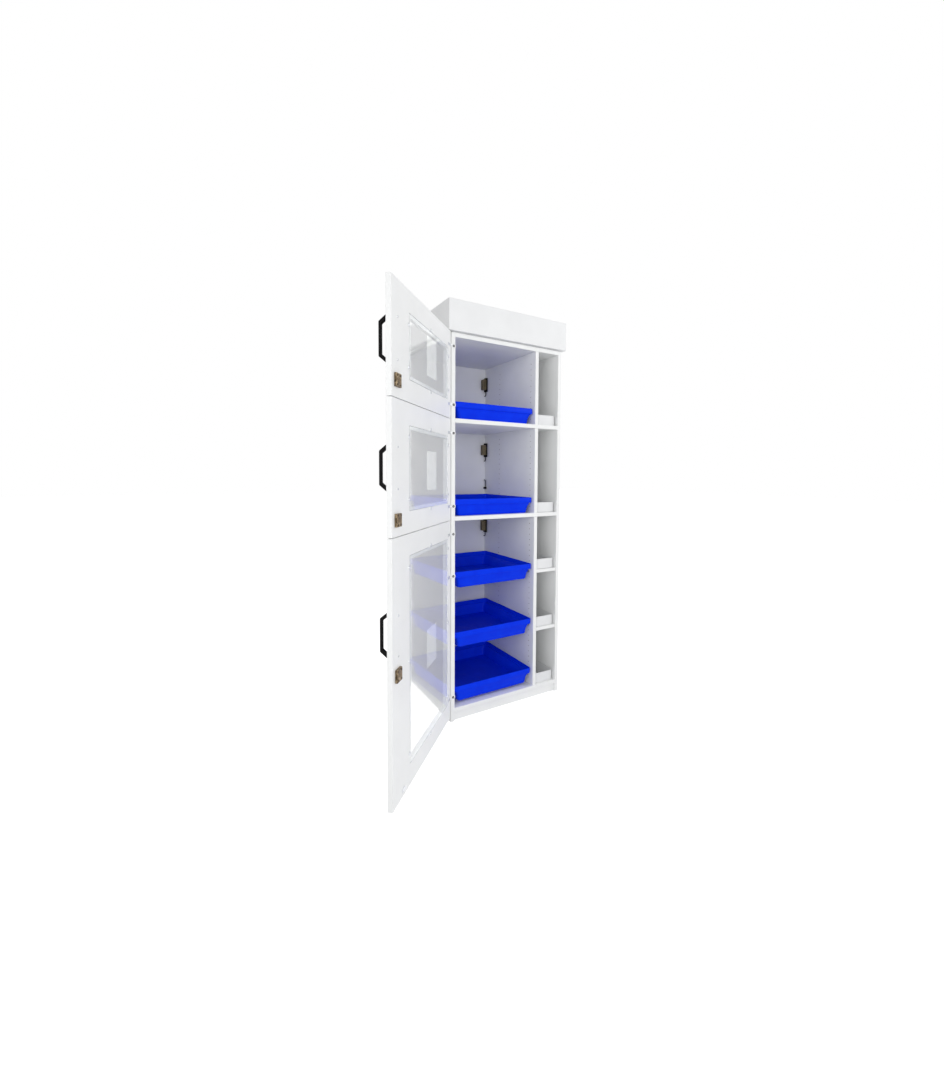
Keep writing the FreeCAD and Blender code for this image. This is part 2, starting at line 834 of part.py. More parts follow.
def sensor_bases():
    """Black sensor bases against the divider, with their leads and cable glands."""
    solids = []
    x0, x1, y0, y1 = sensor_base_box()
    holes = lead_holes()
    for i, top in enumerate(sensor_tops()):
        bottom = top - sensor_height
        body = box(x0, x1, y0, y1, bottom, top)
        across = [e for e in body.Edges if e.BoundBox.XLength > sensor_base_width / 2]
        solids.append(body.makeFillet(sensor_round / 2, across))
        solids.append(lead(lead_x(), bottom, holes[2 * i][1]))
        upper_hole = holes[2 * i + 1][1]
        gland_top = upper_hole - second_lead_length
        solids.append(lead(lead_x(), gland_top, upper_hole))
        y_line = inner_back - sensor_wall_gap - sensor_depth / 2
        seat = box(x0, x1, y_line - gland_radius, inner_back, gland_top - gland_length, gland_top)
        solids.append(seat.makeFillet(sensor_round / 4, seat.Edges))
    return group(solids)


def sensor_covers():
    """Bronze-coloured slotted covers on the sensor bases."""
    solids = []
    x1, _, y0, y1 = sensor_base_box()
    x0 = x1 - sensor_cover_width
    skin = sensor_cover_slot
    for top in sensor_tops():
        high = top - sensor_cover_inset
        low = top - sensor_height + sensor_cover_inset
        body = box(x0, x1, y0, y1, low, high)
        body = body.makeFillet(sensor_round, [e for e in body.Edges if e.BoundBox.XMax < x1 - sensor_round])
        pitch = (high - low) / (sensor_cover_slots + 1)
        slots = []
        for i in range(sensor_cover_slots):
            z = low + (i + 1) * pitch - sensor_cover_slot / 2
            slots.append(box(x0 - overrun, x1 - sensor_round, y0 - overrun, y1 - sensor_round,
                             z, z + sensor_cover_slot))
        core = box(x0 + skin, x1, y0 + skin, y1 - skin, low + skin, high - skin)
        solids.append(cut_all(body, slots).fuse(core).removeSplitter())
    return group(solids)


def hinge_straps():
    """Straps of the hinges on the side, each with its eyes and its pressed-in pin."""
    solids = []
    eye_height = strap_height * eye_share
    face = inner_left + strap_thickness
    for z in all_hinge_levels():
        low = z - strap_height / 2
        high = low + strap_height
        along = box(inner_left, face, front, front + strap_wall_length, low, high)
        across = box(pivot.x, face, front, front + strap_thickness, low, high)
        neck = box(pivot.x, left, pivot.y, front + strap_thickness, low, high)
        body = along.fuse([across, neck, pivot_rod(low, eye_radius, strap_height)])
        gap = pivot_rod(low + eye_height - hinge_play, eye_radius + notch_play, eye_height + 2 * hinge_play)
        pin = pivot_rod(low, hinge_pin_radius, strap_height)
        solids.append(body.cut(gap).fuse(pin).removeSplitter())
        for share in strap_screw_shares:
            y = front + strap_wall_length * share
            solids.append(screw_head((face, y, z), (1, 0, 0), strap_screw_radius, strap_screw_height))
        solids.append(screw_head((left + strap_face_screw_from_side, front, z), (0, -1, 0),
                                 strap_face_screw_radius, strap_screw_height))
    return group(solids)


def opened(shape):
    """A door's piece turned from closed to its rest angle."""
    turned = shape.copy()
    turned.rotate(pivot, UP, -door_open_angle)
    return turned


def window_box(name):
    """Limits of a door's opening, closed."""
    low, high = doors[name]
    return (door_hinge_edge + window_hinge_margin, door_free_edge - window_free_margin,
            low + window_end_margin, high - window_end_margin)


def pane_screw_places(name):
    """Places of the screws round a pane: two or three a side, and one in the middle of each end."""
    x0, x1, z0, z1 = window_box(name)
    out = pane_overlap + pane_screw_outside
    levels = [z0 + pane_screw_inset, z1 - pane_screw_inset]
    if name == "lower":
        levels.insert(1, (z0 + z1) / 2)
    places = [(x, z) for z in levels for x in (x0 - out, x1 + out)]
    return places + [((x0 + x1) / 2, z0 - out), ((x0 + x1) / 2, z1 + out)]


def upright_window(x0, x1, z0, z1, radius, y0, y1):
    """Block through a door with round corners seen from the front."""
    wire = rounded_rectangle((x0 + x1) / 2, (z0 + z1) / 2, x1 - x0, z1 - z0, radius, 0)
    body = prism(wire, y1 - y0)
    body.rotate(V(0, 0, 0), V(1, 0, 0), 90)
    body.translate(V(0, y1, 0))
    return body


def door_panel(name):
    """Door board with its window, pane rebate and the holes of what is fixed to it."""
    low, high = doors[name]
    body = rounded_board(door_hinge_edge, door_free_edge, door_outer, door_inner, low, high, door_edge_round)
    x0, x1, z0, z1 = window_box(name)
    lap = pane_overlap + pane_play
    through = door_thickness + 2 * overrun
    tools = [upright_window(x0, x1, z0, z1, window_corner, door_outer - overrun, door_inner + overrun),
             upright_window(x0 - lap, x1 + lap, z0 - lap, z1 + lap, window_corner,
                            door_inner - pane_thickness, door_inner + overrun)]
    for x, z in pane_screw_places(name):
        tools.append(rod((x, door_inner + overrun, z), (0, -1, 0), wood_screw_radius + screw_fit,
                         wood_screw_length + screw_tip_room + overrun))
    for z in handle_screw_levels(name):
        tools.append(rod((handle_x(), door_inner + overrun, z), (0, -1, 0), handle_screw_radius + screw_fit,
                         through))
    tools.append(rod((barrel_x, door_inner + overrun, lock_level(name)), (0, -1, 0),
                     barrel_radius + screw_fit, through))
    half = strap_height / 2 + hinge_play
    for z in hinge_levels(name):
        tools.append(pivot_rod(z - half, eye_radius + notch_play, 2 * half))
        tools.append(box(door_hinge_edge - overrun, door_hinge_edge + leaf_length,
                         door_inner - strap_thickness, door_inner + overrun,
                         z - strap_height / 2, z + strap_height / 2))
    return opened(cut_all(body, tools))


def door_pane(name):
    """Clear sheet in the rebate behind the window, level with the door's inner face."""
    x0, x1, z0, z1 = window_box(name)
    lap = pane_overlap
    return opened(upright_window(x0 - lap, x1 + lap, z0 - lap, z1 + lap, window_corner,
                                 door_inner - pane_thickness, door_inner))


def handle_x():
    """Line of a handle, closed."""
    return door_free_edge - handle_from_free_edge


def handle_screw_levels(name):
    """Heights of a handle's two screws."""
    z = handle_level(name)
    return [z - handle_pitch / 2, z + handle_pitch / 2]


def door_screws(name):
    """Pane screws with washers, and the two handle screws, as separate solids."""
    solids = []
    for x, z in pane_screw_places(name):
        washer = rod((x, door_inner, z), (0, 1, 0), washer_radius, washer_thickness)
        head = screw_head((x, door_inner + washer_thickness, z), (0, 1, 0), pan_head_radius, pan_head_height)
        shank = rod((x, door_inner, z), (0, -1, 0), wood_screw_radius, wood_screw_length)
        solids.append(washer.fuse([head, shank]).removeSplitter())
    for z in handle_screw_levels(name):
        head = screw_head((handle_x(), door_inner, z), (0, 1, 0), pan_head_radius, pan_head_height)
        shank = rod((handle_x(), door_inner, z), (0, -1, 0), handle_screw_radius,
                    door_thickness + handle_screw_bite)
        solids.append(head.fuse(shank).removeSplitter())
    return opened(group(solids))


def handle_outline():
    """Half of a handle's side view, as distances from its middle and from the door."""
    end = handle_length / 2
    foot_in = end - handle_foot
    bar_in = handle_reach - handle_bar
    slope = handle_chamfer_run / (handle_reach - handle_shoulder)
    inner_knee = bar_in - (foot_in - (end - handle_chamfer_run - handle_bar)) / slope
    outer = [(end, 0), (end, handle_shoulder), (end - handle_chamfer_run, handle_reach)]
    inner = [(end - handle_chamfer_run - handle_bar, bar_in), (foot_in, inner_knee), (foot_in, 0)]
    return outer, inner


def door_handle(name):
    """Bridge handle with slanted ends, on the door's outer face."""
    outer, inner = handle_outline()
    points = outer + [(-a, b) for a, b in reversed(outer)] + [(-a, b) for a, b in reversed(inner)] + inner
    z = handle_level(name)
    x = handle_x() - handle_width / 2
    corners = [V(x, door_outer - out, z + along) for along, out in points]
    wire = Part.makePolygon(corners + [corners[0]])
    body = Part.Face(wire).extrude(V(handle_width, 0, 0))
    rim = [e for e in body.Edges
           if e.BoundBox.XLength < handle_round and e.BoundBox.YMin < door_outer - handle_round]
    body = body.makeFillet(handle_round, rim)
    holes = [rod((handle_x(), door_outer + overrun, level), (0, -1, 0), handle_screw_radius + screw_fit,
                 handle_screw_bite + overrun) for level in handle_screw_levels(name)]
    return opened(cut_all(body, holes))


def lock_case(name):
    """Brass lock case with the bolt's channel, and the barrel that goes through the door."""
    z = lock_level(name)
    case = rounded_board(lock_left, lock_right, door_inner, door_inner + lock_depth,
                         z - lock_height / 2, z + lock_height / 2, lock_wall / 2)
    half_y = bolt_thickness / 2 + bolt_play
    half_z = bolt_height / 2 + bolt_play
    channel = box(lock_left + lock_wall, lock_right + overrun,
                  bolt_centre_y - half_y, bolt_centre_y + half_y, z - half_z, z + half_z)
    barrel = rod((barrel_x, door_inner, z), (0, -1, 0), barrel_radius, door_thickness + barrel_proud)
    rim = rod((barrel_x, door_outer, z), (0, -1, 0), barrel_radius + barrel_rim, barrel_proud)
    bore = rod((barrel_x, bolt_centre_y - half_y, z), (0, -1, 0), plug_radius + plug_fit,
               door_thickness + lock_depth + 2 * overrun)
    return opened(case.fuse([barrel, rim]).cut(channel).cut(bore).removeSplitter())


def lock_bolt(name):
    """Bolt, drawn back at rest."""
    z = lock_level(name)
    x1 = lock_right + bolt_rest_out
    half_y = bolt_thickness / 2
    half_z = bolt_height / 2
    body = box(lock_right - bolt_hidden, x1, bolt_centre_y - half_y, bolt_centre_y + half_y,
               z - half_z, z + half_z)
    nose = [e for e in body.Edges if e.BoundBox.XMin > x1 - bolt_nose_round]
    return opened(body.makeFillet(bolt_nose_round, nose))


def lock_plug(name):
    """Key plug that turns in the barrel, with its key slot."""
    z = lock_level(name)
    y0 = door_outer - barrel_proud - plug_proud
    y1 = bolt_centre_y - bolt_thickness / 2 - bolt_play - plug_proud
    body = rod((barrel_x, y0, z), (0, 1, 0), plug_radius, y1 - y0)
    half_w = key_slot_width / 2
    half_h = key_slot_height / 2
    slot = box(barrel_x - half_w, barrel_x + half_w, y0 - overrun, y0 + key_slot_depth,
               z - half_h, z + half_h)
    return opened(body.cut(slot))


def hinge_leaves(name):
    """Leaves let into the door's inner face, each with the middle eye of its hinge."""
    solids = []
    eye_height = strap_height * eye_share
    for z in hinge_levels(name):
        low = z - strap_height / 2
        plate = box(door_hinge_edge, door_hinge_edge + leaf_length, door_inner - strap_thickness, door_inner,
                    low, low + strap_height)
        neck_low = low + eye_height
        neck = box(pivot.x, door_hinge_edge + notch_play + strap_thickness,
                   door_inner - strap_thickness, door_inner, neck_low, neck_low + eye_height)
        outer = pivot_rod(neck_low, eye_radius, eye_height)
        hole = pivot_rod(low - overrun, hinge_pin_radius + hinge_pin_fit, strap_height + 2 * overrun)
        room = pivot_rod(low - overrun, eye_radius + notch_play, strap_height + 2 * overrun)
        solids.append(plate.cut(room).fuse([neck, outer]).cut(hole).removeSplitter())
        for share in leaf_screw_shares:
            x = door_hinge_edge + leaf_length * share
            solids.append(screw_head((x, door_inner, z), (0, 1, 0), strap_screw_radius, strap_screw_height))
    return opened(group(solids))


def build():
    """Every node of the cabinet by name."""
    nodes = {
        "side_panel_left": side_panel_left(),
        "side_panel_right": side_panel_right(),
        "back_panel": back_panel(),
        "base_board": base_board(),
        "plinth_rails": plinth_rails(),
        "top_board": top_board(),
        "fixed_shelf_upper": fixed_shelf(upper_shelf_bottom),
        "fixed_shelf_lower": fixed_shelf(lower_shelf_bottom),
        "narrow_shelves": narrow_shelves(),
        "shelf_pegs": shelf_pegs(),
        "housing_body": housing_body(),
        "housing_floor": housing_floor(),
        "housing_lid": housing_lid(),
        "carbon_filter": carbon_filter(),
        "filter_hood": filter_hood(),
        "fan_motor": fan_motor(),
        "fan_impeller": fan_impeller(),
        "mains_inlet": mains_inlet(),
        "tray_runners": tray_runners(),
        "strike_plates": strike_plates(),
        "hinge_straps": hinge_straps(),
        "sensor_bases": sensor_bases(),
        "sensor_covers": sensor_covers(),
    }
    for name in doors:
        nodes["divider_" + name] = divider(name)
        nodes["door_panel_" + name] = door_panel(name)
        nodes["door_pane_" + name] = door_pane(name)
        nodes["door_screws_" + name] = door_screws(name)
        nodes["door_handle_" + name] = door_handle(name)
        nodes["lock_case_" + name] = lock_case(name)
        nodes["lock_bolt_" + name] = lock_bolt(name)
        nodes["lock_plug_" + name] = lock_plug(name)
        nodes["hinge_leaves_" + name] = hinge_leaves(name)
    for i, bottom in enumerate(tray_bottoms()):
        nodes["tray_%d" % (i + 1)] = tray(bottom)
    for i, bottom in enumerate(bin_bottoms()):
        nodes["bin_%d" % (i + 1)] = narrow_bin(bottom)
    return nodes


for node, shape in build().items():
    shape.exportStep("parts/" + node + ".step")
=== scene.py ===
import json
import math

import bmesh
import bpy
from mathutils import Matrix, Vector


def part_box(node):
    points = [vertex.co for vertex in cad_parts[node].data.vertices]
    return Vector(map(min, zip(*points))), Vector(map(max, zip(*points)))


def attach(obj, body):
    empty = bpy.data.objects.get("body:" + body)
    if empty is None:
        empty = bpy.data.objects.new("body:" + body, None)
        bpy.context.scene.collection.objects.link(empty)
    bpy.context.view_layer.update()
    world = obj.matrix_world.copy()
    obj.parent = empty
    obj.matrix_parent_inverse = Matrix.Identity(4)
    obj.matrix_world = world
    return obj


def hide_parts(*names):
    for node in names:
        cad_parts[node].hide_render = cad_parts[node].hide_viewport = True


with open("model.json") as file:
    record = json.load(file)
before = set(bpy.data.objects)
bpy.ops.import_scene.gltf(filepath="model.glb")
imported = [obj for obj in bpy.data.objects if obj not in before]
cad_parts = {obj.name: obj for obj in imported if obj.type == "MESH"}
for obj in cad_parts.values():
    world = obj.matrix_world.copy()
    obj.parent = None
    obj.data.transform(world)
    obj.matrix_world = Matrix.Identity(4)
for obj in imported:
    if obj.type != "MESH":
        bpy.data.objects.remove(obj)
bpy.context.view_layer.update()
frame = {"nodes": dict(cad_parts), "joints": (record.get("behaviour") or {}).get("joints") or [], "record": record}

# A tall reagent cabinet. Everything is in metres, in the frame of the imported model. The CAD nodes
# keep their places and get materials, and what needs a finer shape is modelled here in their place.
mm = 0.001
nodes = frame["nodes"]
joints = {joint["name"]: joint for joint in frame["joints"]}
levels = ("upper", "middle", "lower")


def linear(code):
    """Linear colour, with alpha, of an sRGB hex code."""
    parts = [int(code[i:i + 2], 16) / 255 for i in (1, 3, 5)]
    return tuple(c / 12.92 if c <= 0.04045 else ((c + 0.055) / 1.055) ** 2.4 for c in parts) + (1,)


def add_node(owner, kind, inputs=None, **settings):
    """Adds a node to a material or world; an input is a value, or a node and the name of its output."""
    made = owner.node_tree.nodes.new(kind)
    for name, value in settings.items():
        setattr(made, name, value)
    for name, value in (inputs or {}).items():
        if isinstance(value, tuple) and isinstance(value[0], bpy.types.Node):
            owner.node_tree.links.new(value[0].outputs[value[1]], made.inputs[name])
        else:
            made.inputs[name].default_value = value
    return made


def new_material(name):
    """Empty node material, with the node of the object's own coordinates."""
    made = bpy.data.materials.new(name)
    made.use_nodes = True
    made.node_tree.nodes.clear()
    place = add_node(made, "ShaderNodeTexCoord")
    return made, place


def close(made, shader, output="BSDF"):
    """Joins a shader to the material's output."""
    add_node(made, "ShaderNodeOutputMaterial", {"Surface": (shader, output)})
    return made


def cells(size):
    """Noise scale whose features are about this many millimetres across."""
    return 1 / (size * mm)


def set_ramp(ramp, stops):
    """Colours of a colour ramp from pairs of place and hex code."""
    points = ramp.color_ramp.elements
    while len(points) < len(stops):
        points.new(0.5)
    for point, (place, code) in zip(points, stops):
        point.position = place
        point.color = linear(code)


def moulded(name, stops, roughness, grain, grain_depth, tone_size=120, ior=1.46, **extra):
    """Plastic, paint or laminate: one pigment with slow changes of tone and a fine grain in relief.

    The grain, its depth and the tones are in millimetres."""
    gloss_spread, relief_strength = 0.05, 0.6
    made, place = new_material(name)
    tone = add_node(made, "ShaderNodeTexNoise",
                    {"Vector": (place, "Object"), "Scale": cells(tone_size), "Detail": 3})
    colour = add_node(made, "ShaderNodeValToRGB", {"Fac": (tone, "Fac")})
    set_ramp(colour, stops)
    fine = add_node(made, "ShaderNodeTexNoise",
                    {"Vector": (place, "Object"), "Scale": cells(grain), "Detail": 2})
    gloss = add_node(made, "ShaderNodeMapRange",
                     {"Value": (fine, "Fac"), "To Min": roughness - gloss_spread,
                      "To Max": roughness + gloss_spread})
    relief = add_node(made, "ShaderNodeBump",
                      {"Height": (fine, "Fac"), "Distance": grain_depth * mm, "Strength": relief_strength})
    shader = add_node(made, "ShaderNodeBsdfPrincipled",
                      {"Base Color": (colour, "Color"), "Roughness": (gloss, "Result"),
                       "Normal": (relief, "Normal"), "IOR": ior, **extra})
    return close(made, shader)


def metal(name, stops, roughness, mottle, stretch=(1, 1, 1)):
    """Bare or plated metal with a mottle this many millimetres wide, or with lines where it is stretched."""
    brighter, duller, depth, relief_strength = 0.08, 0.1, 0.01, 0.5
    made, place = new_material(name)
    turned = add_node(made, "ShaderNodeMapping", {"Vector": (place, "Object"), "Scale": stretch})
    lines = add_node(made, "ShaderNodeTexNoise",
                     {"Vector": (turned, "Vector"), "Scale": cells(mottle), "Detail": 4})
    colour = add_node(made, "ShaderNodeValToRGB", {"Fac": (lines, "Fac")})
    set_ramp(colour, stops)
    gloss = add_node(made, "ShaderNodeMapRange",
                     {"Value": (lines, "Fac"), "To Min": roughness - brighter, "To Max": roughness + duller})
    relief = add_node(made, "ShaderNodeBump",
                      {"Height": (lines, "Fac"), "Distance": depth * mm, "Strength": relief_strength})
    shader = add_node(made, "ShaderNodeBsdfPrincipled",
                      {"Base Color": (colour, "Color"), "Roughness": (gloss, "Result"),
                       "Normal": (relief, "Normal"), "Metallic": 1.0})
    return close(made, shader)


def laminated_board():
    """Melamine-faced chipboard: white pressed face with a shallow pearl grain about 1.2 mm wide."""
    white = [(0.3, "#eeefef"), (0.7, "#f2f3f3")]
    return moulded("melamine_faced_board_white", white, 0.42, 1.2, 0.02)


def powder_coat():
    """Powder-coated sheet steel: white paint whose orange peel is about 1.6 mm wide."""
    white = [(0.3, "#ecedee"), (0.7, "#f0f1f2")]
    return moulded("powder_coated_steel_white", white, 0.36, 1.6, 0.03)


def blue_polypropylene():
    """Injection-moulded polypropylene, dyed through in a strong blue, with a weak waxy gloss."""
    blue_dye = [(0.3, "#0031e6"), (0.7, "#0038ee")]
    return moulded("polypropylene_moulded_blue", blue_dye, 0.42, 2.0, 0.02, tone_size=60, ior=1.49,
                   **{"Specular IOR Level": 0.09})


def white_polystyrene():
    """Injection-moulded polystyrene of the narrow bins: white, with an even gloss."""
    white = [(0.3, "#e3e4e6"), (0.7, "#e7e8e9")]
    return moulded("polystyrene_moulded_white", white, 0.36, 1.5, 0.015, tone_size=80, ior=1.55)


def black_nylon():
    """Glass-filled nylon: nearly black, with the fine texture of a spark-eroded mould and little sheen."""
    black = [(0.3, "#040404"), (0.7, "#08080a")]
    return moulded("nylon_moulded_black", black, 0.42, 0.9, 0.03, tone_size=20,
                   **{"Specular IOR Level": 0.1})


def black_abs():
    """Moulded ABS of the screw caps, black and fairly smooth."""
    black = [(0.3, "#111112"), (0.7, "#19191b")]
    return moulded("abs_moulded_black", black, 0.4, 0.8, 0.02, tone_size=20)


def lacquered_brass():
    """Lacquered brass gone dull: greyish brown, with darker stains about 6 mm wide."""
    stained = [(0.34, "#51463a"), (0.5, "#7d6d57"), (0.66, "#a8967a")]
    return metal("brass_lacquered", stained, 0.42, 6)


def zinc_plate():
    """Zinc-plated steel: bright grey with a faint mottle about 4 mm wide."""
    return metal("steel_zinc_plated", [(0.3, "#c4c6ca"), (0.7, "#dcdee1")], 0.34, 4)


def bronze_cover():
    """Bronze-anodised aluminium, brushed along its height in lines 1.5 mm wide."""
    along_height = (1, 1, 0.05)
    return metal("aluminium_anodised_bronze", [(0.3, "#5f5646"), (0.7, "#8d826a")], 0.38, 1.5, along_height)


def charcoal():
    """Activated-carbon granules, about 3 mm across, behind the filter's face: black and dull, with painted shade
    in the gaps between granules.
    """
    granule, height = 3, 1.5
    made, place = new_material("activated_carbon_granules")
    grains = add_node(made, "ShaderNodeTexVoronoi", {"Vector": (place, "Object"), "Scale": cells(granule)})
    # Painted shade: each granule is drawn lighter at its middle and darker towards the gaps between granules.
    colour = add_node(made, "ShaderNodeValToRGB", {"Fac": (grains, "Distance")})
    set_ramp(colour, [(0.1, "#303032"), (0.8, "#080808")])
    relief = add_node(made, "ShaderNodeBump", {"Height": (grains, "Distance"), "Distance": height * mm})
    shader = add_node(made, "ShaderNodeBsdfPrincipled",
                      {"Base Color": (colour, "Color"), "Roughness": 0.8, "Normal": (relief, "Normal")})
    return close(made, shader)


def clear_acrylic():
    """Cast acrylic sheet, 5 mm thick: clear and glossy, with faint marks about 90 mm wide from wiping.

    It lets soft light and shadows through unbent. The sheet's own IOR is 1.49, and it is drawn a little
    lower so that the panes stay clear when they are seen at a slant."""
    wiping, ior = 90, 1.4
    made, place = new_material("acrylic_cast_clear")
    wiped = add_node(made, "ShaderNodeTexNoise",
                     {"Vector": (place, "Object"), "Scale": cells(wiping), "Detail": 4})
    gloss = add_node(made, "ShaderNodeMapRange", {"Value": (wiped, "Fac"), "To Min": 0.02, "To Max": 0.09})
    tint = add_node(made, "ShaderNodeValToRGB", {"Fac": (wiped, "Fac")})
    set_ramp(tint, [(0.3, "#fcfdfd"), (0.7, "#ffffff")])
    sheet = add_node(made, "ShaderNodeBsdfPrincipled",
                     {"Base Color": (tint, "Color"), "Roughness": (gloss, "Result"),
                      "Transmission Weight": 1.0, "IOR": ior})
    passing = add_node(made, "ShaderNodeBsdfTransparent", {"Color": linear("#fdfefe")})
    ray = add_node(made, "ShaderNodeLightPath")
    soft = add_node(made, "ShaderNodeMath", {0: (ray, "Is Shadow Ray"), 1: (ray, "Is Diffuse Ray")},
                    operation="MAXIMUM")
    shader = add_node(made, "ShaderNodeMixShader",
                      {0: (soft, "Value"), 1: (sheet, "BSDF"), 2: (passing, "BSDF")})
    return close(made, shader, "Shader")


def browned_steel():
    """Browned steel of the locks' bolts, plugs and screws: nearly black, with a dull oily sheen."""
    return metal("steel_browned", [(0.3, "#2a2218"), (0.7, "#4a3d2c")], 0.4, 3)


def chipboard_and_hole_shade():
    """Raw particle board inside a drilled hole: brown chips about 1.5 mm long, in dark browns that are partly the
    board's own colour and partly painted shade in the hole.
    """
    # The dark browns are partly painted shade inside the holes.
    chips = [(0.35, "#4b3a28"), (0.65, "#8a7152")]
    return moulded("chipboard_raw", chips, 0.85, 1.4, 0.2, tone_size=1.6)


def painted_light_sheet_finish():
    """Uncoated matt white sheet with soft fibres about 0.9 mm long, for the pale cards that paint a bright patch
    of light in each pane.
    """
    white = [(0.3, "#f4f4f1"), (0.7, "#fafaf8")]
    return moulded("paper_label_white", white, 0.8, 0.9, 0.01, tone_size=30)


board = laminated_board()
painted_steel = powder_coat()
blue = blue_polypropylene()
white_plastic = white_polystyrene()
nylon = black_nylon()
abs_black = black_abs()
brass = lacquered_brass()
zinc = zinc_plate()
bronze = bronze_cover()
carbon = charcoal()
acrylic = clear_acrylic()
browned = browned_steel()
board_and_hole_shade = chipboard_and_hole_shade()
light_patch_paper = painted_light_sheet_finish()

finishes = {
    "white_board": board, "white_steel": painted_steel, "clear_acrylic": acrylic, "blue_plastic": blue,
    "white_plastic": white_plastic, "black_plastic": nylon, "brass": brass, "steel": zinc,
    "bronze_cover": bronze, "carbon_filter": carbon,
}


def dress_nodes():
    """Gives every CAD node the finish of its material slot, and the locks' moving parts browned steel."""
    for row in frame["record"]["subparts"]:
        mesh = nodes[row["node"]].data
        mesh.materials.clear()
        mesh.materials.append(finishes[row["material_slot"]])
    for level in levels:
        nodes["lock_bolt_" + level].data.materials[0] = browned
        nodes["lock_plug_" + level].data.materials[0] = browned


dress_nodes()


def deselect():
    """Leaves nothing selected, so that an operator acts on the new piece alone."""
    bpy.ops.object.select_all(action="DESELECT")


def editing(kind="FACE"):
    """Starts edit mode with nothing selected."""
    bpy.ops.object.mode_set(mode="EDIT")
    bpy.ops.mesh.select_mode(type=kind)
    bpy.ops.mesh.select_all(action="DESELECT")


def pick(kind, test):
    """Selects, in edit mode, the faces or edges of the piece that pass a test."""
    shell = bmesh.from_edit_mesh(bpy.context.object.data)
    for part in getattr(shell, kind):
        part.select_set(bool(test(part)))
    bmesh.update_edit_mesh(bpy.context.object.data)


def settle(piece):
    """Puts a piece's place, turn and size into its mesh."""
    deselect()
    piece.select_set(True)
    bpy.context.view_layer.objects.active = piece
    bpy.ops.object.transform_apply(location=True, rotation=True, scale=True)


def close_shell():
    """Merges doubles and turns the faces outwards, then leaves edit mode."""
    merge_distance = 0.01 * mm
    bpy.ops.mesh.select_all(action="SELECT")
    bpy.ops.mesh.remove_doubles(threshold=merge_distance)
    bpy.ops.mesh.normals_make_consistent(inside=False)
    bpy.ops.object.mode_set(mode="OBJECT")


def smooth(piece, angle=35):
    """Shades a piece smooth up to a crease angle in degrees."""
    deselect()
    piece.select_set(True)
    bpy.context.view_layer.objects.active = piece
    bpy.ops.object.shade_smooth_by_angle(angle=math.radians(angle))


def join_all(name, parts):
    """One piece from several, which keeps its place in its mesh."""
    deselect()
    for part in parts:
        part.select_set(True)
    bpy.context.view_layer.objects.active = parts[0]
    bpy.ops.object.join()
    parts[0].name = name
    settle(parts[0])
    return parts[0]


def hand_over(piece, finish, slot, body, *replaced):
    """Gives a finished piece its material and the body that it rides on; the slot is not used."""
    piece.data.materials.clear()
    piece.data.materials.append(finish)
    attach(piece, body)
    if replaced:
        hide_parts(*replaced)


def quarter(radius, steps):
    """Insets and heights, in millimetres, of a rounded edge from flat to upright."""
    turns = [math.pi / 2 * i / steps for i in range(steps + 1)]
    return [(radius * (1 - math.sin(a)), radius * (1 - math.cos(a))) for a in turns]


def open_box(name, low, high, corner, rings):
    """Moulded open box: a rounded plate drawn up through rings to its rim and down again inside.

    Each ring holds its inset at the sides, its inset at the front and rear, and its height."""
    corner_steps = 6
    centre = (low + high) / 2
    half = (high - low) / 2
    side, end, rise = [size * mm for size in rings[0]]
    deselect()
    bpy.ops.mesh.primitive_plane_add(size=2, location=(centre.x, centre.y, low.z + rise))
    piece = bpy.context.object
    piece.name = name
    piece.scale = (half.x - side, half.y - end, 1)
    settle(piece)
    editing("VERT")
    bpy.ops.mesh.select_all(action="SELECT")
    bpy.ops.mesh.bevel(offset=corner * mm, segments=corner_steps, affect="VERTICES")
    bpy.ops.mesh.select_mode(type="FACE")
    bpy.ops.mesh.select_all(action="SELECT")
    for ring in rings[1:]:
        next_side, next_end, next_rise = [size * mm for size in ring]
        bpy.ops.mesh.extrude_region_move(TRANSFORM_OT_translate={"value": (0, 0, next_rise - rise)})
        shrink = ((half.x - next_side) / (half.x - side), (half.y - next_end) / (half.y - end), 1)
        bpy.ops.transform.resize(value=shrink, center_override=(centre.x, centre.y, low.z + next_rise))
        side, end, rise = next_side, next_end, next_rise
    close_shell()
    smooth(piece)
    return piece


def even(inset, rise):
    """Ring that is drawn in alike on all four sides."""
    return inset, inset, rise


def tray_rings():
    """Rings of a retention tray, in millimetres: body, shoulder, ledge, round lip and the room inside."""
    height, rim, wall = 90, 30, 3
    ledge, shoulder, taper = 8, 24, 5
    side, end = 22, 13
    foot_radius, floor_radius, curve_steps = 7, 5, 4
    ledge_turn, inner_turn = 0.6, 1.5
    ledge_height = height - rim
    inner_ledge = ledge_height + wall
    # Insets with the rise of the rim's rounded lower edge, and with the drop of its round lip.
    rim_edge = ((1.2, 0), (0.2, 0.4), (0, 1.4))
    lip = ((0, 1.8), (0.4, 0.6), (wall / 2, 0), (2.6, 0.6), (wall, 1.8))
    body = [(side + taper + inset, end + taper + inset, rise)
            for inset, rise in quarter(foot_radius, curve_steps)]
    outside = [(side, end, ledge_height - shoulder), even(ledge + ledge_turn, ledge_height - 1),
               even(ledge - ledge_turn, ledge_height)]
    outside += [even(inset, ledge_height + rise) for inset, rise in rim_edge]
    outside += [even(inset, height - drop) for inset, drop in lip]
    inside = [even(wall, inner_ledge + inner_turn), even(wall + inner_turn, inner_ledge),
              even(ledge + wall, inner_ledge), (side + wall, end + wall, inner_ledge - shoulder)]
    floor = [(side + taper + wall + inset, end + taper + wall + inset, wall + rise)
             for inset, rise in reversed(quarter(floor_radius, curve_steps))]
    return body + outside + inside + floor


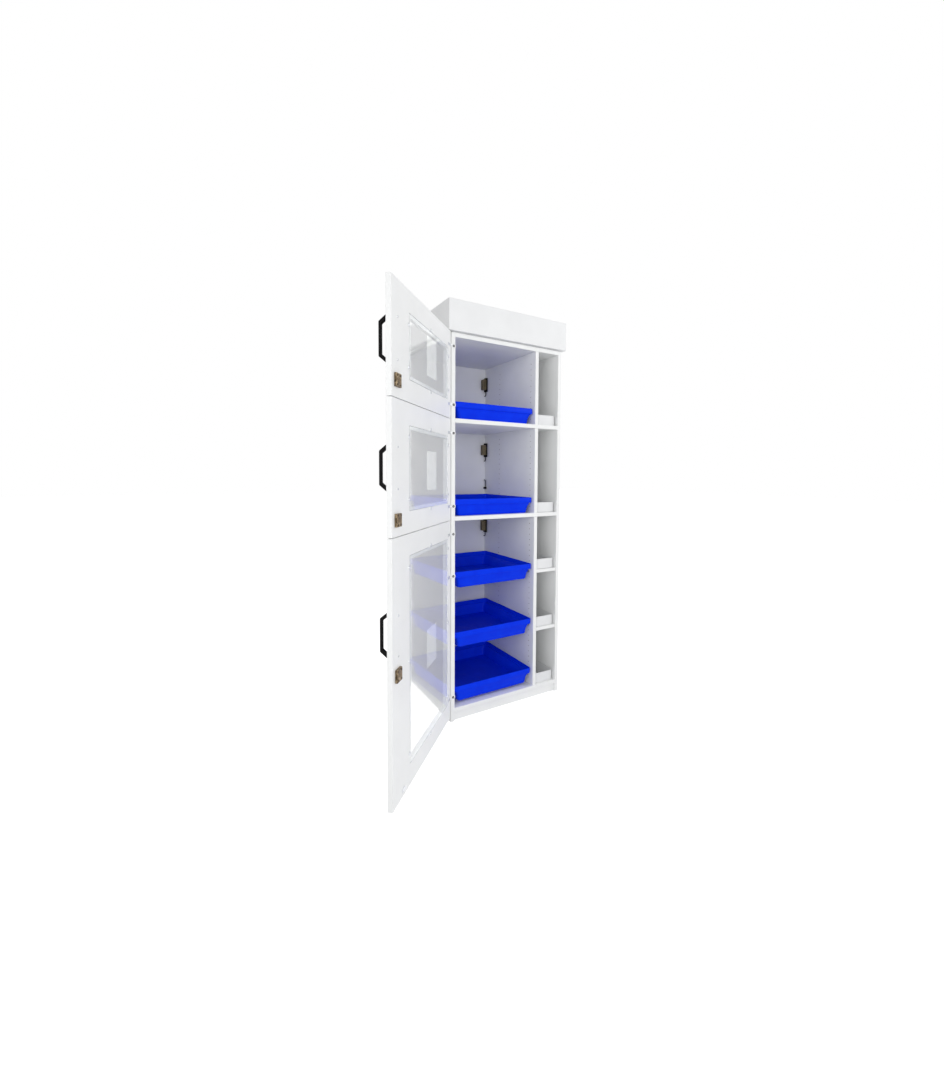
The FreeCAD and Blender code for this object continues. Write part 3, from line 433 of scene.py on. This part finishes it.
def bin_rings():
    """Rings of a narrow bin, in millimetres: upright walls with a thin lip."""
    height, wall, lip, lip_turn = 60, 2.5, 1.5, 0.8
    foot_radius, floor_radius, curve_steps = 4, 3, 4
    room = lip + wall
    # Insets with the drop below the bin's height, over the lip and into the room.
    over_lip = ((lip, 3.2), (0.4, 3), (0, 2.6), (0, lip_turn), (lip_turn, 0), (room - lip_turn, 0),
                (room, lip_turn))
    body = [even(lip + inset, rise) for inset, rise in quarter(foot_radius, curve_steps)]
    rim = [even(inset, height - drop) for inset, drop in over_lip]
    floor = [even(room + inset, wall + rise)
             for inset, rise in reversed(quarter(floor_radius, curve_steps))]
    return body + rim + floor


def make_boxes():
    """The five blue trays and the five white bins."""
    boxes_of_each_kind = 5
    tray_corner, bin_corner = 14, 10.5
    kinds = (("tray", tray_corner, tray_rings(), blue, "blue_plastic"),
             ("bin", bin_corner, bin_rings(), white_plastic, "white_plastic"))
    for kind, corner, rings, finish, slot in kinds:
        for i in range(boxes_of_each_kind):
            node = "%s_%d" % (kind, i + 1)
            low, high = [Vector(end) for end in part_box(node)]
            piece = open_box(node + "_moulded", low, high, corner, rings)
            hand_over(piece, finish, slot, node, node)


make_boxes()


def door_turn(level):
    """Matrix that turns a closed door's piece to the angle at which the door stands at rest."""
    joint = joints["door_%s_hinge" % level]
    pivot = Vector(joint["pos_m"])
    open_angle = max(abs(limit) for limit in joint["range_deg"])
    turn = Matrix.Rotation(-math.radians(open_angle), 4, "Z")
    return Matrix.Translation(pivot) @ turn @ Matrix.Translation(-pivot)


def closed_box(node, level):
    """Lowest and highest corners that a door's node has with the door closed."""
    back = door_turn(level).inverted()
    points = [back @ vertex.co for vertex in nodes[node].data.vertices]
    return (Vector([min(p[i] for p in points) for i in range(3)]),
            Vector([max(p[i] for p in points) for i in range(3)]))


def open_with_door(piece, level):
    """Turns a piece that was modelled on the closed door to its place at rest."""
    piece.matrix_world = door_turn(level) @ piece.matrix_world
    settle(piece)


def door_handle(level):
    """Moulded bridge handle: two feet, slanted shoulders and a straight grip, all edges well rounded."""
    node = "door_handle_" + level
    low, high = closed_box(node, level)
    middle = (low + high) / 2
    reach = high.y - low.y
    half = (high.z - low.z) / 2
    foot, shoulder, run, bar = 18 * mm, 24 * mm, 23 * mm, 10 * mm
    edge, edge_steps, least_fold, near_door = 3.2 * mm, 4, 0.2, 0.1 * mm
    diagonal = math.sqrt(2) * bar / foot
    eighth = math.pi / 4
    # Each step holds a place along the door, a distance from it, a turn and a change of section.
    steps = [(half - foot / 2, shoulder, 0, 1), (half - run - bar / 2, reach - bar / 2, eighth, diagonal),
             (-half + run + bar / 2, reach - bar / 2, 2 * eighth, 1),
             (-half + foot / 2, shoulder, eighth, 1 / diagonal), (-half + foot / 2, 0, 0, 1)]
    place = Vector((middle.x, high.y, middle.z + half - foot / 2))
    deselect()
    bpy.ops.mesh.primitive_plane_add(size=1, location=place, rotation=(math.pi / 2, 0, 0))
    piece = bpy.context.object
    piece.name = node + "_moulded"
    piece.scale = (high.x - low.x, foot, 1)
    settle(piece)
    editing()
    bpy.ops.mesh.select_all(action="SELECT")
    for along, out, turn, stretch in steps:
        after = Vector((middle.x, high.y - out, middle.z + along))
        bpy.ops.mesh.extrude_region_move(TRANSFORM_OT_translate={"value": tuple(after - place)})
        bpy.ops.transform.resize(value=(1, stretch, stretch), center_override=tuple(after))
        bpy.ops.transform.rotate(value=-turn, orient_axis="X", center_override=tuple(after))
        place = after
    bpy.ops.mesh.select_all(action="SELECT")
    bpy.ops.mesh.normals_make_consistent(inside=False)
    bpy.ops.mesh.select_mode(type="EDGE")
    at_door = high.y - near_door
    pick("edges", lambda e: e.calc_face_angle(0) > least_fold and min(v.co.y for v in e.verts) < at_door)
    bpy.ops.mesh.bevel(offset=edge, segments=edge_steps, affect="EDGES", clamp_overlap=True)
    close_shell()
    smooth(piece, 40)
    open_with_door(piece, level)
    hand_over(piece, nylon, "black_plastic", "door_" + level, node)


def domed_head(name, radius, height, recess, washer=0.0):
    """Pan-head screw at the origin, seen along +Z: a domed head with a cross recess, and any washer."""
    head_sides, washer_sides, washer_thickness, washer_edge = 20, 28, 1.5 * mm, 0.35 * mm
    dome_share, slot_width_share, slot_height_share = 0.7, 0.3, 1.1
    parts = []
    seat = 0.0
    if washer:
        seat = washer_thickness
        deselect()
        bpy.ops.mesh.primitive_cylinder_add(vertices=washer_sides, radius=washer, depth=seat,
                                            location=(0, 0, seat / 2))
        parts.append(bpy.context.object)
        editing("EDGE")
        pick("edges", lambda e: min(v.co.z for v in e.verts) > 0)
        bpy.ops.mesh.bevel(offset=washer_edge, segments=2, affect="EDGES")
        bpy.ops.object.mode_set(mode="OBJECT")
        settle(parts[-1])
    deselect()
    bpy.ops.mesh.primitive_cylinder_add(vertices=head_sides, radius=radius, depth=height,
                                        location=(0, 0, height / 2))
    head = bpy.context.object
    editing("EDGE")
    pick("edges", lambda e: min(v.co.z for v in e.verts) > 0)
    bpy.ops.mesh.bevel(offset=height * dome_share, segments=4, affect="EDGES", clamp_overlap=True)
    bpy.ops.object.mode_set(mode="OBJECT")
    settle(head)
    for turn in (0, math.pi / 2):
        bpy.ops.mesh.primitive_cube_add(size=1, location=(0, 0, height), rotation=(0, 0, turn))
        slot = bpy.context.object
        slot.scale = (recess, recess * slot_width_share, height * slot_height_share)
        cut = head.modifiers.new("recess", "BOOLEAN")
        cut.object = slot
        cut.operation = "DIFFERENCE"
        bpy.context.view_layer.objects.active = head
        bpy.ops.object.modifier_apply(modifier="recess")
        bpy.data.objects.remove(slot)
    head.location.z = seat
    head = join_all(name, [head] + parts)
    smooth(head, 30)
    return head


def repeat(model, name, places):
    """One piece made of copies of a model, one at each matrix."""
    deselect()
    for place in places:
        copy = model.copy()
        copy.data = model.data.copy()
        bpy.context.scene.collection.objects.link(copy)
        copy.matrix_world = place
        copy.select_set(True)
    bpy.context.view_layer.objects.active = copy
    bpy.ops.object.join()
    piece = bpy.context.object
    piece.name = name
    settle(piece)
    return piece


def facing(place, direction, twist=0.0):
    """Matrix that stands a model at a place with its +Z along a direction."""
    turn = Vector(direction).to_track_quat("Z", "Y").to_matrix().to_4x4()
    return Matrix.Translation(place) @ turn @ Matrix.Rotation(twist, 4, "Z")


def loose_parts(node, level):
    """Lowest and highest corners of a door node's separate solids, with the door closed."""
    same_point = 0.001 * mm
    copy = nodes[node].copy()
    copy.data = nodes[node].data.copy()
    bpy.context.scene.collection.objects.link(copy)
    copy.data.transform(door_turn(level).inverted())
    deselect()
    copy.select_set(True)
    bpy.context.view_layer.objects.active = copy
    editing("VERT")
    bpy.ops.mesh.select_all(action="SELECT")
    bpy.ops.mesh.remove_doubles(threshold=same_point)
    bpy.ops.mesh.separate(type="LOOSE")
    bpy.ops.object.mode_set(mode="OBJECT")
    boxes = []
    for part in list(bpy.context.selected_objects):
        corners = [Vector(corner) for corner in part.bound_box]
        low = Vector([min(c[i] for c in corners) for i in range(3)])
        high = Vector([max(c[i] for c in corners) for i in range(3)])
        boxes.append((low, high))
        bpy.data.objects.remove(part)
    return boxes


def door_screws(level, washer_screw, plain_screw):
    """Pane screws on their washers and the two handle screws, each turned a little differently."""
    node = "door_screws_" + level
    least_washer, turn_between = 12 * mm, 0.7
    inner = closed_box("door_panel_" + level, level)[1].y
    washered, plain = [], []
    for i, (low, high) in enumerate(sorted(loose_parts(node, level), key=lambda box: tuple(box[0]))):
        centre = (low + high) / 2
        place = facing((centre.x, inner, centre.z), (0, 1, 0), turn_between * i)
        (washered if high.x - low.x > least_washer else plain).append(place)
    first = repeat(washer_screw, node + "_washered", washered)
    second = repeat(plain_screw, node + "_plain", plain)
    heads = join_all(node + "_heads", [first, second])
    open_with_door(heads, level)
    hand_over(heads, zinc, "steel", "door_" + level, node)


def make_door_hardware():
    """Handles and screws of the three doors."""
    head_radius, head_height, recess, washer_radius = 4.5 * mm, 2.4 * mm, 4.4 * mm, 8 * mm
    washer_screw = domed_head("washer_screw_model", head_radius, head_height, recess, washer_radius)
    plain_screw = domed_head("plain_screw_model", head_radius, head_height, recess)
    for level in levels:
        door_handle(level)
        door_screws(level, washer_screw, plain_screw)
    bpy.data.objects.remove(washer_screw)
    bpy.data.objects.remove(plain_screw)


make_door_hardware()


def raised_plate(name, low, high, edge, sunk=0.0):
    """Thin plate on a closed door's face, between two corners: soft edges, and any sunk middle."""
    border, near_top, sharp_fold, crease = 2.5 * mm, 0.01 * mm, 1.2, 20
    deselect()
    bpy.ops.mesh.primitive_cube_add(size=1, location=(low + high) / 2)
    plate = bpy.context.object
    plate.name = name
    plate.scale = high - low
    settle(plate)
    editing()
    top = high.y - near_top
    if sunk:
        pick("faces", lambda f: min(v.co.y for v in f.verts) > top)
        bpy.ops.mesh.inset(thickness=border)
        bpy.ops.mesh.extrude_region_move(TRANSFORM_OT_translate={"value": (0, -sunk, 0)})
    bpy.ops.mesh.select_mode(type="EDGE")
    pick("edges", lambda e: e.calc_face_angle(0) > sharp_fold)
    bpy.ops.mesh.bevel(offset=edge, segments=2, affect="EDGES", clamp_overlap=True)
    close_shell()
    smooth(plate, crease)
    return plate


def lock_trim(level, screw):
    """Cover plate with a round cam boss on the flat lock case, and its four corner screws."""
    border, skin, edge, sunk = 2.5 * mm, 0.8 * mm, 0.25 * mm, 0.3 * mm
    boss_radius, boss_height, boss_border, boss_sunk = 8.5 * mm, 1.6 * mm, 1.6 * mm, 0.5 * mm
    corner, first_turn, turn_per_metre = 8 * mm, 0.5, 3
    low, high = closed_box("lock_case_" + level, level)
    middle = (low + high) / 2
    plate = raised_plate("lock_cover", Vector((low.x + border, high.y, low.z + border)),
                         Vector((high.x - border, high.y + skin, high.z - border)), edge, sunk)
    deselect()
    bpy.ops.mesh.primitive_cylinder_add(vertices=32, radius=boss_radius, depth=boss_height,
                                        location=(middle.x, high.y + skin, middle.z),
                                        rotation=(math.pi / 2, 0, 0))
    boss = bpy.context.object
    settle(boss)
    editing()
    near_top = high.y + skin + boss_height / 4
    pick("faces", lambda f: f.calc_center_median().y > near_top)
    bpy.ops.mesh.inset(thickness=boss_border)
    bpy.ops.mesh.extrude_region_move(TRANSFORM_OT_translate={"value": (0, -boss_sunk, 0)})
    close_shell()
    smooth(boss)
    cover = join_all("lock_cover_" + level, [plate, boss])
    open_with_door(cover, level)
    hand_over(cover, brass, "brass", "door_" + level)
    places = [facing((x, high.y + skin - sunk, z), (0, 1, 0), first_turn + turn_per_metre * x + z)
              for x in (low.x + corner, high.x - corner) for z in (low.z + corner, high.z - corner)]
    screws = repeat(screw, "lock_screws_" + level, places)
    open_with_door(screws, level)
    hand_over(screws, browned, "steel", "door_" + level)


def window_pane(level):
    """Clear sheet with polished, lightly chamfered edges, laid just clear of the floor of its rebate."""
    play, edge = 0.15 * mm, 0.5 * mm
    node = "door_pane_" + level
    low, high = closed_box(node, level)
    pane = raised_plate(node + "_sheet", low + Vector((play, play, play)),
                        high - Vector((play, 0, play)), edge)
    open_with_door(pane, level)
    hand_over(pane, acrylic, "clear_acrylic", "door_" + level, node)


def painted_light_card(level, rise):
    """Pale blank card on the outer face of a pane, a little towards the hinges from its middle: a painted patch of
    light where each pane shows a bright patch.
    """
    half_width, half_height, thickness, edge = 62.5 * mm, 88 * mm, 0.2 * mm, 0.05 * mm
    towards_hinges, into_play = 17 * mm, 0.12 * mm
    low, high = closed_box("door_pane_" + level, level)
    middle = (low + high) / 2 + Vector((-towards_hinges, 0, rise))
    # The card is painted light: a pale sheet that stands for a bright patch of light in the pane.
    card = raised_plate("window_card_" + level,
                        Vector((middle.x - half_width, low.y - thickness, middle.z - half_height)),
                        Vector((middle.x + half_width, low.y + into_play, middle.z + half_height)), edge)
    open_with_door(card, level)
    hand_over(card, light_patch_paper, "white_plastic", "door_" + level)


def catch_plate():
    """Small pale stop plate low on the lower door's inner face."""
    half_width, half_height, thickness, edge, sunk = 15 * mm, 8 * mm, 1.4 * mm, 0.4 * mm, 0.3 * mm
    from_free_edge, from_foot = 105 * mm, 27 * mm
    low, high = closed_box("door_panel_lower", "lower")
    x, z = high.x - from_free_edge, low.z + from_foot
    plate = raised_plate("door_stop_plate", Vector((x - half_width, high.y, z - half_height)),
                         Vector((x + half_width, high.y + thickness, z + half_height)), edge, sunk)
    open_with_door(plate, "lower")
    hand_over(plate, zinc, "steel", "door_lower")


def hinge_caps(cap):
    """Black screw caps on the hinge straps, beside each door, each turned a little differently."""
    from_side, least_leaf, turn_per_metre = 13 * mm, 20 * mm, 40
    side = Vector(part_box("side_panel_left")[0])
    places = []
    for level in levels:
        for low, high in loose_parts("hinge_leaves_" + level, level):
            if high.x - low.x > least_leaf:
                place = (side.x + from_side, side.y, (low.z + high.z) / 2)
                places.append(facing(place, (0, -1, 0), turn_per_metre * low.z))
    caps = repeat(cap, "hinge_screw_caps", places)
    hand_over(caps, abs_black, "black_plastic", "carcass")


def hole_lining():
    """Eight-sided cup that shows the brown board inside a peg hole, seen along +Z; its dark brown is partly
    painted shade in the hole.
    """
    radius, depth, skin, below_face, least_flat = 2.45 * mm, 10 * mm, 0.2 * mm, 0.15 * mm, 0.9
    deselect()
    bpy.ops.mesh.primitive_cylinder_add(vertices=8, radius=radius, depth=depth,
                                        location=(0, 0, -depth / 2 - below_face))
    cup = bpy.context.object
    cup.name = "hole_lining_model"
    settle(cup)
    editing()
    pick("faces", lambda f: f.calc_center_median().z > -depth / 2 and abs(f.normal.z) > least_flat)
    bpy.ops.mesh.inset(thickness=skin)
    bpy.ops.mesh.extrude_region_move(TRANSFORM_OT_translate={"value": (0, 0, skin - depth)})
    close_shell()
    return cup


def peg_hole_linings():
    """Linings in the two columns of peg holes on each side of the main column, dark brown as raw board and as
    painted shade in the holes.
    """
    pitch, end_distance, front_setback, rear_setback = 32 * mm, 34 * mm, 50 * mm, 200 * mm
    side_low, side_high = [Vector(end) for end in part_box("side_panel_left")]
    model = hole_lining()
    places = []
    for level in levels:
        low, high = [Vector(end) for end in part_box("divider_" + level)]
        count = int((high.z - low.z - 2 * end_distance) // pitch) + 1
        for y in (side_low.y + front_setback, side_high.y - rear_setback):
            for i in range(count):
                z = low.z + end_distance + i * pitch
                places.append(facing((side_high.x, y, z), (1, 0, 0)))
                places.append(facing((low.x, y, z), (-1, 0, 0)))
    linings = repeat(model, "peg_hole_linings", places)
    bpy.data.objects.remove(model)
    hand_over(linings, board_and_hole_shade, "white_board", "carcass")


def rear_fixings(screw):
    """Screws of the back panel and rivets of the housing's rear wall."""
    column_shares = (0.04, 0.27, 0.5, 0.73, 0.96)
    margin, rivets_in_row, turn_across, turn_up = 12 * mm, 7, 9, 5
    low, high = [Vector(end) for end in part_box("back_panel")]
    columns = [low.x + (high.x - low.x) * share for share in column_shares]
    rails = [(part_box(node)[0][2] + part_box(node)[1][2]) / 2
             for node in ("base_board", "fixed_shelf_lower", "fixed_shelf_upper", "top_board")]
    places = [facing((x, high.y, z), (0, 1, 0), turn_across * x + turn_up * z)
              for x in columns for z in rails]
    screws = repeat(screw, "back_panel_screws", places)
    hand_over(screws, zinc, "steel", "carcass")
    wall_low, wall_high = [Vector(end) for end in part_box("housing_body")]
    run = wall_high.x - wall_low.x - 2 * margin
    row = [wall_low.x + margin + run * i / (rivets_in_row - 1) for i in range(rivets_in_row)]
    places = [facing((x, wall_high.y, z), (0, 1, 0)) for x in row
              for z in (wall_low.z + margin, wall_high.z - margin)]
    rivets = repeat(screw, "housing_rivets", places)
    hand_over(rivets, painted_steel, "white_steel", "carcass")


def make_small_fittings():
    """Lock trim, panes with their pale cards of painted light, stop plate, hinge caps, hole linings and rear
    fixings.
    """
    # Radius, height and recess of each screw head, and how far each pale card of painted light stands above its
    # pane's middle.
    heads = (("lock_screw", 4 * mm, 1.3 * mm, 4 * mm), ("hinge_cap", 6.2 * mm, 1.6 * mm, 5 * mm),
             ("flat_screw", 3.6 * mm, 1.0 * mm, 3.8 * mm))
    painted_light_rises = {"upper": 16 * mm, "middle": -7 * mm, "lower": -29 * mm}
    lock_screw, cap, flat_screw = [domed_head(name + "_model", *sizes) for name, *sizes in heads]
    for level in levels:
        lock_trim(level, lock_screw)
        window_pane(level)
        painted_light_card(level, painted_light_rises[level])
    catch_plate()
    hinge_caps(cap)
    peg_hole_linings()
    rear_fixings(flat_screw)
    for model in (lock_screw, cap, flat_screw):
        bpy.data.objects.remove(model)


make_small_fittings()


def shown_rays(owner):
    """1 for what the camera, metal and glass see, and 0 for the light that falls on the object."""
    ray = add_node(owner, "ShaderNodeLightPath")
    seen = add_node(owner, "ShaderNodeMath", {0: (ray, "Is Camera Ray"), 1: (ray, "Is Glossy Ray")},
                    operation="MAXIMUM")
    return add_node(owner, "ShaderNodeMath", {0: (seen, "Value"), 1: (ray, "Is Transmission Ray")},
                    operation="MAXIMUM")


def pale_floor():
    """Plain floor that keeps the object's soft shadow and is white to the camera, metal and glass."""
    width, glow_strength = 60, 0.78
    deselect()
    bpy.ops.mesh.primitive_plane_add(size=width, location=(0, 0, 0))
    floor = bpy.context.object
    floor.name = "pale_floor"
    made, _ = new_material("floor_white")
    glow = add_node(made, "ShaderNodeMapRange",
                    {"Value": (shown_rays(made), "Value"), "To Min": 0.0, "To Max": glow_strength})
    white = add_node(made, "ShaderNodeEmission", {"Strength": (glow, "Result")})
    matt = add_node(made, "ShaderNodeBsdfDiffuse", {"Color": linear("#e4e4e4")})
    both = add_node(made, "ShaderNodeAddShader", {0: (matt, "BSDF"), 1: (white, "Emission")})
    close(made, both, "Shader")
    floor.data.materials.append(made)


def studio_light():
    """Surroundings that are white to look at and light the object evenly, and three large soft lamps."""
    even_light, seen_white = 0.5, 1.0
    aim = Vector((0, 0, 1.1))
    # Name, place in metres, power in watts and width in metres of each lamp.
    lamps = (("key_lamp", (3.4, -2.0, 2.6), 53, 1.8), ("fill_lamp", (-3.0, -3.0, 2.0), 38, 2.2),
             ("front_lamp", (-0.9, -4.0, 1.5), 29, 1.4))
    world = bpy.data.worlds.new("studio")
    bpy.context.scene.world = world
    world.use_nodes = True
    world.node_tree.nodes.clear()
    strength = add_node(world, "ShaderNodeMapRange",
                        {"Value": (shown_rays(world), "Value"), "To Min": even_light, "To Max": seen_white})
    light = add_node(world, "ShaderNodeBackground",
                     {"Color": linear("#ffffff"), "Strength": (strength, "Result")})
    add_node(world, "ShaderNodeOutputWorld", {"Surface": (light, "Background")})
    for name, place, power, width in lamps:
        lamp = bpy.data.lights.new(name, "AREA")
        lamp.energy = power
        lamp.size = width
        holder = bpy.data.objects.new(name, lamp)
        bpy.context.scene.collection.objects.link(holder)
        holder.location = place
        holder.rotation_euler = (aim - Vector(place)).to_track_quat("-Z", "Y").to_euler()


def photo_camera():
    """Camera solved from the photograph, for a picture of 944 by 1080."""
    picture_width, picture_height, sensor = 944, 1080, 36
    focal, centre_x, centre_y = 470.07, 506.19, 494.97
    yaw, pitch, roll = math.radians(32.25), math.radians(-2.53), math.radians(0.41)
    place = (-1.4253, -2.5253, 1.3248)
    forward = Vector((math.sin(yaw) * math.cos(pitch), math.cos(yaw) * math.cos(pitch), math.sin(pitch)))
    level = Vector((math.cos(yaw), -math.sin(yaw), 0))
    upright = level.cross(forward)
    right = level * math.cos(roll) + upright * math.sin(roll)
    up = upright * math.cos(roll) - level * math.sin(roll)
    lens = bpy.data.cameras.new("photo_camera")
    lens.sensor_fit = "AUTO"
    lens.sensor_width = sensor
    lens.lens = focal / picture_height * sensor
    lens.shift_x = (picture_width / 2 - centre_x) / picture_height
    lens.shift_y = (centre_y - picture_height / 2) / picture_height
    camera = bpy.data.objects.new("photo_camera", lens)
    bpy.context.scene.collection.objects.link(camera)
    turn = Matrix((right, up, -forward)).transposed().to_4x4()
    camera.matrix_world = Matrix.Translation(place) @ turn
    bpy.context.scene.camera = camera


pale_floor()
studio_light()
photo_camera()
bpy.context.scene.view_settings.view_transform = "Standard"
